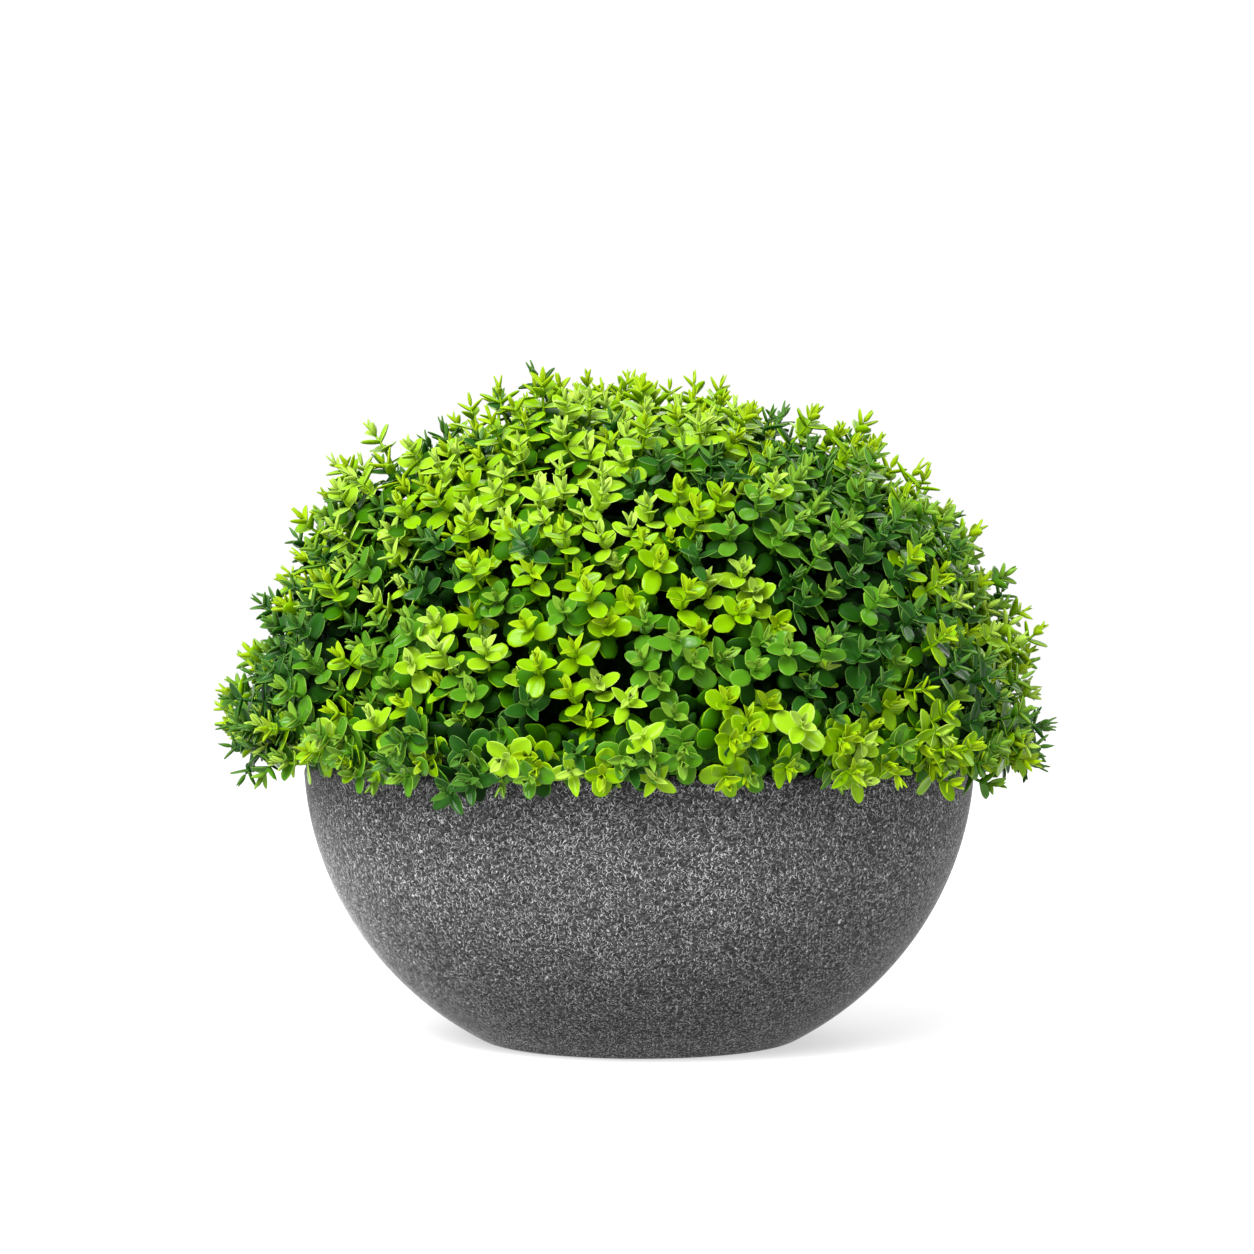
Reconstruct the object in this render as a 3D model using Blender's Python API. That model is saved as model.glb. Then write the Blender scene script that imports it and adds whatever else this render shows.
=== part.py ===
"""A globe of small-leaved foliage in a stone-look bowl planter.

Units are metres and +Z is up. The bowl stands on z = 0 with its axis on the origin, and the view
of the photograph is along +Y. The crown is seven masses, one on top and six round the sides.
Each mass is a curved core on its own limb, with leafy twigs standing out of it, and the limbs
meet one short stem that stands on the filling of the bowl.
"""

import math
import random

import bmesh
import bpy
from mathutils import Vector

CLEARANCE = 0.0003
UP = Vector((0.0, 0.0, 1.0))
SMOOTH_UNDER = math.radians(35.0)

# Bowl: a belly that is the lower part of an ellipse, a flat foot and a full round lip
BOWL_HEIGHT = 0.166
BOWL_RADIUS = 0.200
BELLY_MIDDLE = 0.172
BELLY_DEPTH = 0.1935
FOOT_ROUND = 0.020
WALL = 0.012
FLOOR = 0.014
BOWL_SIDES = 60
BELLY_RINGS = 8
BELLY_CROWDING = 1.25
LIP_RINGS = 4

# Filling and stem
FILLING_TOP = BOWL_HEIGHT - 0.020
FILLING_LOW = FILLING_TOP - 0.035
STEM_FOOT = FILLING_TOP + CLEARANCE
STEM_TOP = 0.214
STEM_RADIUS = 0.010
STEM_TAPER = 0.80
STEM_FLARE = 0.011
STEM_LEAN = 0.003
STEM_SIDES = 10
STEM_RINGS = 6
STEM_CROWDING = 1.4

# Crown: how far its leaf tips reach from its middle, which is level with the bowl's rim
CROWN_MIDDLE = Vector((-0.002, 0.0, BOWL_HEIGHT + CLEARANCE))
CROWN_RADIUS = 0.250
CROWN_RISE = 0.232
CROWN_SQUARENESS = 2.3
CROWN_SHOULDER = 0.024
CROWN_SWELL = 0.012
SWELL_TURN = 0.6
PROUDEST = 1.03

# Masses: six round the sides and one on top, parted by flat walls through the crown's middle
SIDE_MASSES = 6
MASS_TURN = 2.0 * math.pi / SIDE_MASSES
FRONT = -math.pi / 2.0
TOP_ANGLE = math.radians(38.0)
MASS_SHIFT = 0.0006

# Core of a mass, from an inner to an outer share of the crown's reach
CORE_INSIDE = 0.26
CORE_OUTSIDE = 0.83
CORE_COLUMNS = 6
CORE_ROWS = 5
TOP_COLUMNS = 4
TOP_RINGS_INSIDE = (0.15, 0.5, 1.0)
TOP_RINGS_OUTSIDE = (1.0, 0.8, 0.56, 0.32, 0.1)

# Limbs that carry the cores
LIMB_RADIUS = 0.0035
LIMB_HEIGHTS = (0.014, 0.027)
LIMB_SAG = 0.002
LIMB_END = 0.42
LIMB_END_ANGLE = math.radians(68.0)
LIMB_SIDES = 6
TOP_LIMB_RADIUS = 0.007

# Twigs, as shares of the crown's reach or of their own length
TWIGS = 87
TWIG_SEED = 17
TWIG_JITTER = 0.16
LOWEST_TWIG = math.radians(97.0)
LEAST_REACH = 0.95
PROUD_EVERY = 6
TWIG_ROOT = 0.77
TWIG_KNEE = 0.55
TWIG_SIDES = 3
TWIG_THICK = 0.0026
TWIG_THIN = 0.0017
TWIG_LIFT = 0.125
TWIG_STRAY = 0.10
TWIG_SIZES = (0.88, 1.08)
WALL_MARGIN = 0.022
BOWL_MARGIN = 0.0015

# Skirt: the lowest twigs, which start just above the rim and hang over it
SKIRT_BELOW = math.radians(85.0)
SKIRT_ROOT_ANGLE = math.radians(84.5)
SKIRT_ROOTS = (0.79, 0.82)
SKIRT_LENGTHS = (0.026, 0.031)
SKIRT_HANG = (0.45, 0.95)

# Leaves, larger than life: each stands for the small leaves of one sprig
LEAF_LENGTH = 0.043
LEAF_WIDTH = 0.026
LEAF_THICKNESS = 0.0022
LEAF_CUP = 0.0030
LEAF_NECK = 0.0002
LEAF_WIDEST = 0.55
LEAF_THICKEST = 0.38
LEAF_STRAY = 0.15
# Each pair: its place along the twig, its spread from the twig, and its size
LEAF_PAIRS = (
    (0.66, math.radians(68.0), 1.00),
    (0.83, math.radians(48.0), 0.92),
    (1.00, math.radians(23.0), 0.78),
)
PAIR_TURN = 0.38 * math.pi
SMALLER_TRIES = (1.0, 0.8, 0.62)
EDGE_SAMPLES = 6
GOLDEN_TURN = math.pi * (3.0 - math.sqrt(5.0))


def material(name, colour, roughness):
    made = bpy.data.materials.new(name)
    made.use_nodes = True
    shader = made.node_tree.nodes["Principled BSDF"]
    shader.inputs["Base Color"].default_value = (*colour, 1.0)
    shader.inputs["Roughness"].default_value = roughness
    shader.inputs["Metallic"].default_value = 0.0
    made.diffuse_color = (*colour, 1.0)
    return made


def solid(name, points, faces):
    """An object with closed triangles that face out."""
    mesh = bpy.data.meshes.new(name)
    shape = bmesh.new()
    corners = [shape.verts.new(point) for point in points]
    for face in faces:
        shape.faces.new([corners[i] for i in face])
    bmesh.ops.recalc_face_normals(shape, faces=shape.faces)
    bmesh.ops.triangulate(shape, faces=shape.faces)
    shape.to_mesh(mesh)
    shape.free()
    return bpy.data.objects.new(name, mesh)


def loft(name, rings):
    """A solid skinned over rings of as many points each, with a flat cap at both ends."""
    sides = len(rings[0])
    faces = [range(sides), range((len(rings) - 1) * sides, len(rings) * sides)]
    for ring in range(len(rings) - 1):
        for i in range(sides):
            near = ring * sides + i
            far = ring * sides + (i + 1) % sides
            faces.append((near, far, far + sides, near + sides))
    return solid(name, [point for ring in rings for point in ring], faces)


def place(part, surface, smooth=True):
    """Puts a finished sub-part in the scene with its material."""
    part.data.materials.clear()
    part.data.materials.append(surface)
    if smooth:
        part.data.shade_smooth()
        part.data.set_sharp_from_angle(angle=SMOOTH_UNDER)
    bpy.context.scene.collection.objects.link(part)


def compass(azimuth):
    return Vector((math.cos(azimuth), math.sin(azimuth), 0.0))


def heading(azimuth, polar):
    """The direction at an angle from straight up."""
    return math.sin(polar) * compass(azimuth) + math.cos(polar) * UP


def circle(radius, height, sides, aside=0.0):
    middle = Vector((aside, 0.0, height))
    return [middle + radius * compass(2.0 * math.pi * i / sides) for i in range(sides)]


def across(direction):
    """Two directions square to the given one and to each other."""
    helper = UP if abs(direction.z) < 0.9 else Vector((1.0, 0.0, 0.0))
    side = direction.cross(helper).normalized()
    return side, direction.cross(side).normalized()


def limb(name, path, radii, sides):
    """A tapering branch along a path of points."""
    rings = []
    for i, (point, radius) in enumerate(zip(path, radii)):
        before = path[max(i - 1, 0)]
        after = path[min(i + 1, len(path) - 1)]
        side, other = across((after - before).normalized())
        turns = [2.0 * math.pi * k / sides for k in range(sides)]
        rings.append([point + radius * (math.cos(t) * side + math.sin(t) * other) for t in turns])
    return loft(name, rings)


def belly(height, inward=0.0):
    """Radius of the bowl's wall at a height, moved in by a thickness."""
    drop = (BELLY_MIDDLE - height) / (BELLY_DEPTH - inward)
    return (BOWL_RADIUS - inward) * math.sqrt(max(0.0, 1.0 - drop * drop))


def bowl():
    """The shell, skinned from the edge of its foot up the belly, over the lip and down inside."""
    step = 0.001
    slope = math.atan2(step, belly(step) - belly(0.0))
    flat = belly(0.0) - FOOT_ROUND * math.tan(slope / 2.0)
    profile = [
        (flat + FOOT_ROUND * math.sin(turn), FOOT_ROUND * (1.0 - math.cos(turn)))
        for turn in (0.0, slope / 2.0, slope)
    ]
    start = profile[-1][1]
    lip = WALL / 2.0
    lip_height = BOWL_HEIGHT - lip
    for i in range(1, BELLY_RINGS + 1):
        height = start + (lip_height - start) * (i / BELLY_RINGS) ** BELLY_CROWDING
        profile.append((belly(height), height))
    lip_middle = belly(lip_height) - lip
    for i in range(1, LIP_RINGS + 1):
        turn = math.pi * i / LIP_RINGS
        profile.append((lip_middle + lip * math.cos(turn), lip_height + lip * math.sin(turn)))
    for height in (FILLING_TOP, FILLING_LOW, (FILLING_LOW + 2.0 * FLOOR) / 3.0, FLOOR):
        profile.append((belly(height, WALL), height))
    return loft("bowl", [circle(radius, height, BOWL_SIDES) for radius, height in profile])


def filling():
    gap = 1.5 * CLEARANCE
    heights = (FILLING_LOW, FILLING_TOP)
    return loft("filling", [circle(belly(z, WALL) - gap, z, BOWL_SIDES) for z in heights])


def stem_share(height):
    return (height - STEM_FOOT) / (STEM_TOP - STEM_FOOT)


def stem_radius(height):
    share = stem_share(height)
    taper = STEM_RADIUS * (1.0 - (1.0 - STEM_TAPER) * share)
    return taper + STEM_FLARE * (1.0 - share) ** 5


def stem_aside(height):
    return STEM_LEAN * math.sin(math.pi * stem_share(height))


def stem():
    """Flared at its foot, tapering and bowed a little, with a flat cut at both ends."""
    rings = []
    for i in range(STEM_RINGS):
        share = (i / (STEM_RINGS - 1)) ** STEM_CROWDING
        height = STEM_FOOT + (STEM_TOP - STEM_FOOT) * share
        rings.append(circle(stem_radius(height), height, STEM_SIDES, stem_aside(height)))
    return loft("stem", rings)


def crown_reach(azimuth, polar):
    """How far leaf tips reach from the crown's middle: a squarish dome with shallow swells."""
    wide = abs(math.sin(polar)) / CROWN_RADIUS
    high = abs(math.cos(polar)) / CROWN_RISE
    dome = (wide**CROWN_SQUARENESS + high**CROWN_SQUARENESS) ** (-1.0 / CROWN_SQUARENESS)
    shoulder = CROWN_SHOULDER * math.cos(azimuth) * math.sin(2.0 * polar)
    swell = CROWN_SWELL * math.sin(3.0 * azimuth + SWELL_TURN) * math.sin(4.0 * polar + azimuth)
    return dome * (1.0 - shoulder + swell * math.sin(polar))


def in_crown(azimuth, polar, share):
    return CROWN_MIDDLE + share * crown_reach(azimuth, polar) * heading(azimuth, polar)


def side_azimuth(number):
    return FRONT + MASS_TURN * number


def top_edge(azimuth):
    """Polar angle of the flat walls that part the top mass from the side masses."""
    off = (azimuth - FRONT + MASS_TURN / 2.0) % MASS_TURN - MASS_TURN / 2.0
    return math.atan(math.tan(TOP_ANGLE) / math.cos(off))


def top_walls():
    """The walls that hold the top mass, as inward directions."""
    lift = math.sin(TOP_ANGLE) * UP
    return [lift - math.cos(TOP_ANGLE) * compass(side_azimuth(i)) for i in range(SIDE_MASSES)]


def side_walls(number):
    """The walls that hold one side mass, as inward directions."""
    azimuth = side_azimuth(number)
    quarter = math.pi / 2.0
    return [
        compass(azimuth - MASS_TURN / 2.0 + quarter),
        compass(azimuth + MASS_TURN / 2.0 - quarter),
        math.cos(TOP_ANGLE) * compass(azimuth) - math.sin(TOP_ANGLE) * UP,
    ]


def top_core():
    """A six-sided cap, skinned from under its middle out to the edge and back over the top."""
    shares = [(CORE_INSIDE, outward) for outward in TOP_RINGS_INSIDE]
    shares += [(CORE_OUTSIDE, outward) for outward in TOP_RINGS_OUTSIDE]
    turns = [FRONT + MASS_TURN * i / TOP_COLUMNS for i in range(SIDE_MASSES * TOP_COLUMNS)]
    rings = [
        [in_crown(azimuth, outward * top_edge(azimuth), share) for azimuth in turns]
        for share, outward in shares
    ]
    return loft("foliage_top", rings)


def side_core(number):
    """A curved block, skinned round the crown from one side wall to the other."""
    rings = []
    for column in range(CORE_COLUMNS + 1):
        azimuth = side_azimuth(number) + MASS_TURN * (column / CORE_COLUMNS - 0.5)
        top = top_edge(azimuth)
        rim = math.pi / 2.0
        polars = [top + (rim - top) * row / CORE_ROWS for row in range(CORE_ROWS + 1)]
        outer = [in_crown(azimuth, polar, CORE_OUTSIDE) for polar in polars]
        inner = [in_crown(azimuth, polar, CORE_INSIDE) for polar in (rim, (top + rim) / 2.0, top)]
        rings.append(outer + inner)
    return loft(f"foliage_side_{number + 1}", rings)


def top_limb():
    """From just above the stem's tip to well inside the top core."""
    start = (STEM_TOP + CLEARANCE) * UP
    end = in_crown(0.0, 0.0, LIMB_END)
    radii = [TOP_LIMB_RADIUS * share for share in (1.0, 0.8, 0.6)]
    return limb("limb", [start, start.lerp(end, 0.5), end], radii, LIMB_SIDES)


def side_limb(number):
    """From the stem's side to well inside the core. Neighbours start at two heights in turn."""
    height = CROWN_MIDDLE.z + LIMB_HEIGHTS[number % 2]
    out = compass(side_azimuth(number))
    widest = stem_radius(height - LIMB_RADIUS)
    start = Vector((stem_aside(height), 0.0, height)) + (widest + 2.0 * CLEARANCE) * out
    end = in_crown(side_azimuth(number), LIMB_END_ANGLE, LIMB_END)
    knee = start.lerp(end, 0.5) - LIMB_SAG * UP
    return limb("limb", [start, knee, end], [LIMB_RADIUS] * 3, LIMB_SIDES)


def clear_of_bowl(point):
    if point.z > CROWN_MIDDLE.z:
        return True
    return math.hypot(point.x, point.y) > belly(point.z) + BOWL_MARGIN


def in_space(point, walls):
    """Whether a point is between a mass's walls and within the crown's reach."""
    arm = point - CROWN_MIDDLE
    if any(arm.dot(wall) < 0.0 for wall in walls):
        return False
    polar = min(arm.angle(UP), math.pi / 2.0)
    return arm.length < PROUDEST * crown_reach(math.atan2(arm.y, arm.x), polar)


def fits(corners, outline, walls):
    """Whether a piece keeps to its mass's space, and its outline keeps off the bowl."""
    if not all(in_space(corner, walls) for corner in corners):
        return False
    shares = [i / EDGE_SAMPLES for i in range(EDGE_SAMPLES + 1)]
    edges = zip(outline, outline[1:])
    return all(clear_of_bowl(start.lerp(end, share)) for start, end in edges for share in shares)


def leaf(root, along, face, size):
    """Points of a kite-shaped leaf, cupped towards its upper face: four round it, then two on it."""
    length = size * LEAF_LENGTH
    side = along.cross(face) * size * LEAF_WIDTH / 2.0
    lifted = root + LEAF_CUP * face
    rib = root + LEAF_THICKEST * length * along
    return [
        root + LEAF_NECK * along,
        lifted + LEAF_WIDEST * length * along + side,
        lifted + length * along,
        lifted + LEAF_WIDEST * length * along - side,
        rib + LEAF_THICKNESS / 2.0 * face,
        rib - LEAF_THICKNESS / 2.0 * face,
    ]


LEAF_FACES = [(i, (i + 1) % 4, middle) for middle in (4, 5) for i in range(4)]


def twig_headings(chance):
    """Directions spread evenly over the crown, each moved a little by chance."""
    lowest = math.cos(LOWEST_TWIG)
    stray = TWIG_JITTER * math.sqrt(2.0 * math.pi * (1.0 - lowest) / TWIGS)
    for i in range(TWIGS):
        polar = math.acos(1.0 - (1.0 - lowest) * (i + 0.5) / TWIGS)
        azimuth = i * GOLDEN_TURN + chance.uniform(-stray, stray) / max(math.sin(polar), stray)
        polar = abs(polar + chance.uniform(-stray, stray))
        yield heading(azimuth, min(polar, LOWEST_TWIG))


def mass_of(direction):
    """The number of the side mass that a direction belongs to, or None for the top mass."""
    if all(direction.dot(wall) > 0.0 for wall in top_walls()):
        return None
    return round((math.atan2(direction.y, direction.x) - FRONT) / MASS_TURN) % SIDE_MASSES


def moved_off_walls(direction, walls):
    """A direction turned away from each wall that is nearer than the margin."""
    margin = WALL_MARGIN / CROWN_RADIUS
    for _ in range(3):
        for wall in walls:
            short = margin - direction.dot(wall)
            if short > 0.0:
                direction = (direction + short * wall).normalized()
    return direction


def bent_path(root, out, length, bend):
    """Root, knee and tip of a twig that starts along one direction and curves by another."""
    shares = (0.0, TWIG_KNEE, 1.0)
    return [root + length * (share * out + share * share * bend) for share in shares]


def skirt_path(azimuth, chance):
    root = in_crown(azimuth, SKIRT_ROOT_ANGLE, chance.uniform(*SKIRT_ROOTS))
    length = chance.uniform(*SKIRT_LENGTHS)
    return bent_path(root, compass(azimuth), length, -chance.uniform(*SKIRT_HANG) * UP)


def dome_path(azimuth, polar, reached, chance):
    """From inside the core to where the last pair of leaves reaches the crown's outline."""
    _, spread, size = LEAF_PAIRS[-1]
    reach = crown_reach(azimuth, polar)
    length = (reached - TWIG_ROOT) * reach - size * LEAF_LENGTH * math.cos(spread)
    out = heading(azimuth, polar)
    side, other = across(out)
    bend = TWIG_LIFT * math.sin(polar) * UP
    bend += chance.uniform(-TWIG_STRAY, TWIG_STRAY) * side
    bend += chance.uniform(-TWIG_STRAY, TWIG_STRAY) * other
    return bent_path(in_crown(azimuth, polar, TWIG_ROOT), out, length, bend)


def station(path, share):
    """The point at a share of a twig's length beyond its knee, and the twig's direction there."""
    point = path[1].lerp(path[2], (share - TWIG_KNEE) / (1.0 - TWIG_KNEE))
    return point, (path[2] - path[1]).normalized()


def fitting_leaf(root, along, face, size, walls):
    """The leaf at its own size, or smaller where that wouldn't fit, or None."""
    for smaller in SMALLER_TRIES:
        points = leaf(root, along, face, size * smaller)
        if fits(points[1:], points[:4] + points[:1], walls):
            return solid("leaf", points, LEAF_FACES)
    return None


def leafy_twig(path, walls, chance):
    """The solids of one twig with its pairs of opposite leaves, each pair turned from the last.

    Each twig's leaves have draws of their own, so that the twigs stay where they are without them.
    """
    if not fits(path, path, walls):
        return []
    radii = [TWIG_THICK, (TWIG_THICK + TWIG_THIN) / 2.0, TWIG_THIN]
    made = [limb("twig", path, radii, TWIG_SIDES)]
    start = chance.uniform(0.0, math.pi)
    whole = chance.uniform(*TWIG_SIZES)
    for pair, (share, spread, size) in enumerate(LEAF_PAIRS):
        root, direction = station(path, share)
        if pair == len(LEAF_PAIRS) - 1:
            root = root - TWIG_THIN * direction
        side, other = across(direction)
        for opposite in (0.0, math.pi):
            turn = start + pair * PAIR_TURN + opposite + chance.uniform(-LEAF_STRAY, LEAF_STRAY)
            open_by = spread + chance.uniform(-LEAF_STRAY, LEAF_STRAY)
            outward = math.cos(turn) * side + math.sin(turn) * other
            along = math.cos(open_by) * direction + math.sin(open_by) * outward
            face = math.sin(open_by) * direction - math.cos(open_by) * outward
            made.append(fitting_leaf(root, along, face, size * whole, walls))
    return [piece for piece in made if piece]


def fuse(core, members):
    """Joins limb, twigs and leaves to a core by one union, and removes the loose solids."""
    group = bpy.data.collections.new("loose")
    scene = bpy.context.scene.collection
    scene.children.link(group)
    scene.objects.link(core)
    for member in members:
        group.objects.link(member)
    union = core.modifiers.new("join", "BOOLEAN")
    union.operation = "UNION"
    union.operand_type = "COLLECTION"
    union.collection = group
    union.solver = "EXACT"
    bpy.context.view_layer.update()
    graph = bpy.context.evaluated_depsgraph_get()
    fused = bpy.data.meshes.new_from_object(core.evaluated_get(graph))
    core.modifiers.clear()
    core.data = fused
    for member in members:
        bpy.data.objects.remove(member)
    bpy.data.collections.remove(group)
    scene.objects.unlink(core)


def crown(surfaces):
    """All seven masses, each set outward a little so that its walls clear its neighbours'."""
    chance = random.Random(TWIG_SEED)
    members = {number: [side_limb(number)] for number in range(SIDE_MASSES)}
    members[None] = [top_limb()]
    for i, direction in enumerate(twig_headings(chance)):
        number = mass_of(direction)
        walls = top_walls() if number is None else side_walls(number)
        direction = moved_off_walls(direction, walls)
        azimuth = math.atan2(direction.y, direction.x)
        polar = direction.angle(UP)
        if polar > SKIRT_BELOW:
            path = skirt_path(azimuth, chance)
        else:
            reached = PROUDEST if i % PROUD_EVERY == 1 else chance.uniform(LEAST_REACH, 1.0)
            path = dome_path(azimuth, polar, reached, chance)
        members[number] += leafy_twig(path, walls, random.Random(i))
    for (number, solids), surface in zip(members.items(), surfaces):
        core = top_core() if number is None else side_core(number)
        fuse(core, solids)
        away = UP if number is None else compass(side_azimuth(number))
        core.location = MASS_SHIFT * away
        place(core, surface, smooth=False)


for leftover in list(bpy.data.objects):
    bpy.data.objects.remove(leftover)

place(bowl(), material("fleck_stone", (0.130, 0.130, 0.132), 0.55))
place(filling(), material("dark_filling", (0.030, 0.024, 0.018), 0.95))
place(stem(), material("stem_brown", (0.075, 0.050, 0.028), 0.80))
GREENS = (
    (0.150, 0.330, 0.020),
    (0.085, 0.215, 0.018),
    (0.110, 0.260, 0.022),
    (0.095, 0.225, 0.020),
    (0.120, 0.280, 0.020),
    (0.075, 0.190, 0.022),
    (0.190, 0.390, 0.025),
)
crown([material(f"leaf_green_{i + 1}", green, 0.42) for i, green in enumerate(GREENS)])
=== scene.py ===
"""The looks of an artificial hebe globe in a stone-look bowl planter.

Units are metres and +Z is up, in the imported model's frame: the bowl stands on z = 0 with its axis on
the origin, and the photograph looks along +Y. The crown keeps the rule of the part's source. Its
twigs are carried on here to sprigs with pairs of small moulded leaves, within the same reach.
"""

import math
import random

import bpy
import numpy as np
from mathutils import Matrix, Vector, noise


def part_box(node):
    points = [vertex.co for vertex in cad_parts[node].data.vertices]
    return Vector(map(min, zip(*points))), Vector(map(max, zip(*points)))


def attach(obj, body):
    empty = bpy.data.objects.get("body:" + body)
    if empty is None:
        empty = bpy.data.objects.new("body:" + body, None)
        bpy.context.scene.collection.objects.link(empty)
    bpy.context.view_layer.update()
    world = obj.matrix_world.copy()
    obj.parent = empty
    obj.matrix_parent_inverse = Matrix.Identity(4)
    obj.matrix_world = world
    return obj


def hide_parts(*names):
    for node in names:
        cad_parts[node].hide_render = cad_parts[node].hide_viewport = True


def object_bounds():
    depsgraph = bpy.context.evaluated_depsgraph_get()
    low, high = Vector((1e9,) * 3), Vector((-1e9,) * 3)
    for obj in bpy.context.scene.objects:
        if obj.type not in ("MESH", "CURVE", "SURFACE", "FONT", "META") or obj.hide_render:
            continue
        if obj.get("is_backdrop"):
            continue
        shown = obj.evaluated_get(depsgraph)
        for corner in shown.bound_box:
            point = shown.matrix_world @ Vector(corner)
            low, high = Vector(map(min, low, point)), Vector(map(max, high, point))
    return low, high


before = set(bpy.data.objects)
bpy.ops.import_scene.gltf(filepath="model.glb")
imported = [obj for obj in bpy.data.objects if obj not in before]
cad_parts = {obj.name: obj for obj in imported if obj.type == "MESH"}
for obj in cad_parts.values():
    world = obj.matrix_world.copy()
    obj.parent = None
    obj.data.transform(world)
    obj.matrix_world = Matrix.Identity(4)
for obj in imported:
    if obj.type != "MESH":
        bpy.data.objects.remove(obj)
cad_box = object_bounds()

UP = np.array((0.0, 0.0, 1.0))
NEARLY_UPRIGHT = 0.9
WHITE = (1.0, 1.0, 1.0, 1.0)
CLEARANCE = 0.0003
GOLDEN_TURN = math.pi * (3.0 - math.sqrt(5.0))

# Camera, as fitted to the bowl's outline in the photograph, and the studio round it
CAMERA_PLACE = (-0.0072, -1.840, 0.246)
CAMERA_LENS = 88.3
STUDIO_WHITE = 1.02
FLOOR_WHITE = 0.42
FLOOR_GLOW = 0.58
FLOOR_ROUGHNESS = 0.9
FLOOR_SIDE = 80.0
# Each softbox: its place, its side and its watts
SOFTBOXES = {
    "front_softbox": (Vector((-0.91, -2.25, 1.96)), 2.0, 236.0),
    "front_lamp": (Vector((-0.91, -2.25, 1.96)), 0.4, 42.0),
    "back_softbox": (Vector((1.00, 2.30, 2.10)), 3.0, 60.0),
}
SOFTBOX_AIM = Vector((0.0, 0.0, 0.22))

# Bowl, as in the part's source
BOWL_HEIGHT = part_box("bowl")[1].z
BOWL_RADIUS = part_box("bowl")[1].x
BELLY_MIDDLE = 0.172
BELLY_DEPTH = 0.1935
FOOT_ROUND = 0.020
WALL = 0.012
FLOOR = 0.014
BOWL_SIDES = 160
FOOT_RINGS = 6
BELLY_RINGS = 40
LIP_RINGS = 12
SLOPE_STEP = 0.001

# Flakes in the stone: layers of cells, with more cells a metre and a further shift in each layer
FLAKE_LAYERS = 4
FLAKE_STEP = 55.0
FLAKE_SHIFT = 0.013
# How far a flake reaches in its cell, from which share of that it fades, and where its faces blur
FLAKE_REACH = 0.6
FLAKE_FADE = 0.8
FLAKE_BLUR = (0.6, 1.2)

# How strongly the dark flakes show at the foot, and how much less above a height
DARK_STRENGTH = 0.95
DARK_WEAKER = 0.2
DARK_HEIGHT = 0.07
# How strongly the pale flakes show, and how much more in the clouds
PALE_STRENGTH = 0.56
PALE_STRONGER = 0.19
# How dark the painted shade over the foot is, the height where it is full, and the height where it ends
PAINTED_FOOT_SHADE = 0.34
FOOT_HEIGHT = 0.02
SHADE_HEIGHT = 0.12
# Roughness of the stone, what the clouds add to it, and what the pale flakes take away
STONE_ROUGHNESS = 0.48
CLOUD_ROUGHNESS = 0.12
FLAKE_POLISH = 0.10

# Stem and limbs, as in the part's source, with the relief of their bark
STEM_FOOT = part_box("stem")[0].z
STEM_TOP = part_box("stem")[1].z
STEM_RADIUS = 0.010
STEM_TAPER = 0.80
STEM_FLARE = 0.011
FLARE_POWER = 5
STEM_LEAN = 0.003
STEM_CROWDING = 1.4
LIMB_RADIUS = 0.0035
LIMB_HEIGHTS = (0.014, 0.027)
LIMB_SAG = 0.002
LIMB_END = 0.42
LIMB_END_ANGLE = math.radians(68.0)
TOP_LIMB_RADIUS = 0.007
TOP_LIMB_TAPER = 0.6
BARK_SIDES = 28
BARK_RINGS = 36
BARK_RELIEF = 0.07
BARK_SCALE = Vector((260.0, 260.0, 60.0))
BARK_FINE_SCALE = 400.0
BARK_FINE_SHARE = 0.3
BARK_STEEPNESS = 3.0

# Crown, as in the part's source
CROWN_MIDDLE = np.array((-0.002, 0.0, BOWL_HEIGHT + CLEARANCE))
CROWN_RADIUS = 0.250
CROWN_RISE = 0.232
CROWN_SQUARENESS = 2.3
CROWN_SHOULDER = 0.024
CROWN_SWELL = 0.012
SWELLS_ROUND = 3.0
SWELLS_DOWN = 4.0
SWELL_TURN = 0.6
PROUDEST = 1.03
SIDE_MASSES = 6
MASS_TURN = 2.0 * math.pi / SIDE_MASSES
FRONT = -math.pi / 2.0
TOP_ANGLE = math.radians(38.0)
CORE_INSIDE = 0.26

# Twigs, as in the part's source
TWIGS = 87
TWIG_SEED = 17
TWIG_JITTER = 0.16
LOWEST_TWIG = math.radians(97.0)
LEAST_REACH = 0.95
PROUD_EVERY = 6
TWIG_ROOT = 0.77
TWIG_KNEE = 0.55
TWIG_THICK = 0.0026
TWIG_LIFT = 0.125
TWIG_STRAY = 0.10
SOURCE_LEAF = 0.043
LAST_SIZE = 0.78
LAST_SPREAD = math.radians(23.0)
LAST_LEAF = LAST_SIZE * SOURCE_LEAF * math.cos(LAST_SPREAD)
WALL_MARGIN = 0.022
WALL_ROUNDS = 3
BOWL_MARGIN = 0.0015
SKIRT_BELOW = math.radians(85.0)
SKIRT_ROOT_ANGLE = math.radians(84.5)
SKIRT_ROOTS = (0.79, 0.82)
SKIRT_LENGTHS = (0.026, 0.031)
SKIRT_HANG = (0.45, 0.95)

# Inner crown: the dark tangle that the sprigs grow out of, its near-black colour painted shade
TANGLE_OUTSIDE = 0.775
TANGLE_COLUMNS = 96
TANGLE_ROWS = 30
INSIDE_STEP = 4
TANGLE_ROUGHNESS = 0.035
TANGLE_SCALE = 70.0
# The tangle's noise: how fast its octaves weaken, how much finer each is, and how many there are
TANGLE_FRACTAL = (1.0, 2.0, 3)

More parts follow.
